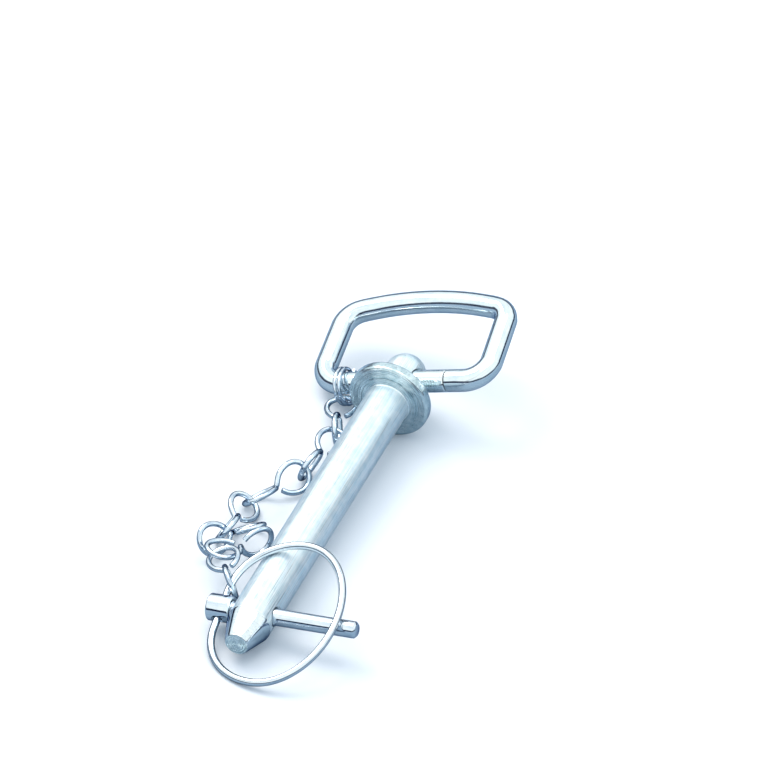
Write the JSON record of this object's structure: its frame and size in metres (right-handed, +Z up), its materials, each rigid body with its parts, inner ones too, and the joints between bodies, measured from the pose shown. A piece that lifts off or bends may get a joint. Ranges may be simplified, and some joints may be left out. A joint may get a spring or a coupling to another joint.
{
  "type": "hitch pin lock",
  "caption": "Hitch pin with a flange, a swivel D-handle and a chain to a linch pin with a spring ring, which locks it through a cross hole.",
  "frame": {"origin": "centre of the object's box at the surface it lies on", "axes": "+Z up, -Y along the shank towards the tip, +X towards the linch pin's far end"},
  "size_m": [0.074, 0.2002, 0.0375],
  "materials": {
    "zinc_plate": "satin zinc plating over a turned surface",
    "bright_zinc_wire": "bright zinc plating",
    "zinc_chain_wire": "bright zinc plating"
  },
  "bodies": {
    "hitch_pin": {"hitch_pin": "zinc_plate"},
    "handle": {"handle": "bright_zinc_wire"},
    "split_ring": {"split_ring": "zinc_chain_wire"},
    "chain_link_1": {"chain_link_1": "zinc_chain_wire"},
    "chain_link_2": {"chain_link_2": "zinc_chain_wire"},
    "chain_link_3": {"chain_link_3": "zinc_chain_wire"},
    "chain_link_4": {"chain_link_4": "zinc_chain_wire"},
    "chain_link_5": {"chain_link_5": "zinc_chain_wire"},
    "linch_pin": {"linch_pin": "zinc_plate"},
    "linch_ring": {"linch_ring": "bright_zinc_wire"},
    "chain_link_6": {"chain_link_6": "zinc_chain_wire"},
    "chain_link_7": {"chain_link_7": "zinc_chain_wire"}
  },
  "joints": [
    {"name": "handle_swing", "type": "hinge", "parent": "hitch_pin", "child": "handle", "pos_m": [-0.00049, 0.06175, 0.0159], "axis": [0.9511, -0.0139, 0.3087], "range_deg": [-165, 140]},
    {"name": "split_ring_turn", "type": "hinge", "parent": "hitch_pin", "child": "split_ring", "pos_m": [-0.02151, 0.06206, 0.00908], "axis": [0.9511, -0.0139, 0.3087], "range_deg": [-6, 20]},
    {"name": "chain_link_1_bend", "type": "hinge", "parent": "split_ring", "child": "chain_link_1", "pos_m": [-0.02038, 0.05538, 0.00531], "axis": [-0.2728, -0.5069, 0.8177], "range_deg": [-12, 3]},
    {"name": "chain_link_2_bend", "type": "hinge", "parent": "chain_link_1", "child": "chain_link_2", "pos_m": [-0.01405, 0.03329, 0.00712], "axis": [-0.1635, 0.0339, 0.986], "range_deg": [-12, 3]},
    {"name": "chain_link_3_bend", "type": "hinge", "parent": "chain_link_2", "child": "chain_link_3", "pos_m": [-0.01793, 0.01129, 0.00654], "axis": [0.3, -0.0782, 0.9507], "range_deg": [-15, 4]},
    {"name": "chain_link_4_bend", "type": "hinge", "parent": "chain_link_3", "child": "chain_link_4", "pos_m": [-0.03039, -0.00866, 0.00406], "axis": [0.6191, -0.4653, 0.6326], "range_deg": [-20, 20]},
    {"name": "chain_link_5_bend", "type": "hinge", "parent": "chain_link_4", "child": "chain_link_5", "pos_m": [-0.03039, -0.03142, 0.00605], "axis": [0.5592, 0.0723, 0.8259], "range_deg": [-12, 3]},
    {"name": "linch_pin_turn", "type": "hinge", "parent": "hitch_pin", "child": "linch_pin", "pos_m": [-0.00115, -0.0714, 0.00967], "axis": [0.9945, -0.0047, 0.1044], "range_deg": [0, 135]},
    {"name": "linch_ring_swing", "type": "hinge", "parent": "linch_pin", "child": "linch_ring", "pos_m": [-0.01388, -0.07135, 0.00833], "axis": [0.0337, -0.9314, -0.3626], "range_deg": [0, 120]},
    {"name": "chain_link_6_bend", "type": "hinge", "parent": "linch_pin", "child": "chain_link_6", "pos_m": [-0.01412, -0.06204, 0.01198], "axis": [-0.0337, 0.9314, 0.3626], "range_deg": [-8, 6]},
    {"name": "chain_link_7_bend", "type": "hinge", "parent": "chain_link_6", "child": "chain_link_7", "pos_m": [-0.02571, -0.04312, 0.01023], "axis": [0.7982, 0.5176, 0.3081], "range_deg": [-5, 5]}
  ]
}
